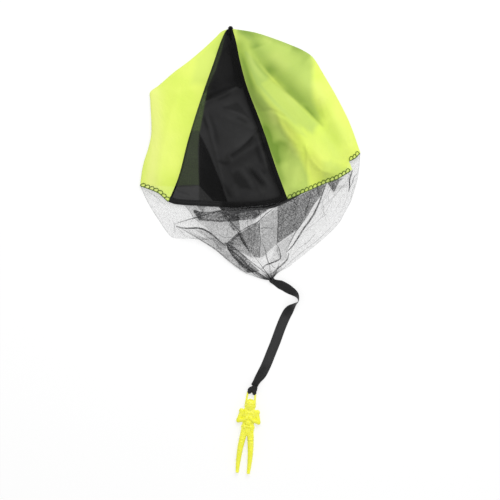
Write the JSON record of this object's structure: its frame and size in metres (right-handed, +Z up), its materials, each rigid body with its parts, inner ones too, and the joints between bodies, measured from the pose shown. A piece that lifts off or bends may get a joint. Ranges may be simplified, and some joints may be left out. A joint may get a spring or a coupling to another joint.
{
  "type": "toy parachutist",
  "caption": "Toy parachutist laid flat: a four-gore cloth canopy with a gathered net skirt, a flat ribbon with a half twist, and a small moulded figure tied on by the ring over its head",
  "frame": {"origin": "middle of the toy's footprint, on the surface it lies on", "axes": "+Z up from the surface; +Y from the figure's feet to the canopy's crown; +X to the right as the toy is seen from above"},
  "size_m": [0.244, 0.4923, 0.0215],
  "materials": {
    "lime_cloth": "thin plain-woven nylon, slightly see-through",
    "black_cloth": "thin plain-woven nylon, slightly shiny",
    "black_net": "fine soft tulle",
    "black_ribbon": "plain woven tape",
    "yellow_plastic": "moulded, half gloss"
  },
  "bodies": {
    "canopy": {"front_black_gore": "black_cloth", "back_black_gore": "black_cloth", "left_lime_gore": "lime_cloth", "right_lime_gore": "lime_cloth", "crown_tack": "black_cloth", "net_skirt_front": "black_net", "net_skirt_back": "black_net", "net_neck": "black_net"},
    "ribbon_upper": {"ribbon_tie": "black_ribbon", "ribbon_upper_run": "black_ribbon"},
    "ribbon_lower": {"ribbon_lower_run": "black_ribbon"},
    "ribbon_end": {"ribbon_gathered_end": "black_ribbon"},
    "hung_figure": {"ribbon_hitch": "black_ribbon", "figure": "yellow_plastic"}
  },
  "joints": [
    {"name": "neck_swing", "type": "hinge", "parent": "canopy", "child": "ribbon_upper", "pos_m": [0.02418, -0.0333, 0.0025], "axis": [0, 0, 1], "range_deg": [-35, 25]},
    {"name": "ribbon_fold", "type": "hinge", "parent": "ribbon_upper", "child": "ribbon_lower", "pos_m": [0.05319, -0.05573, 0.005], "axis": [0, 0, 1], "range_deg": [-35, 80]},
    {"name": "ribbon_lift", "type": "hinge", "parent": "ribbon_lower", "child": "ribbon_end", "pos_m": [0.0143, -0.13521, 0.0006], "axis": [-0.8419, 0.5397, 0], "range_deg": [0, 100]},
    {"name": "figure_swing", "type": "hinge", "parent": "ribbon_end", "child": "hung_figure", "pos_m": [0.00419, -0.15081, 0.0034], "axis": [0, 0, 1], "range_deg": [-35, 35]}
  ]
}
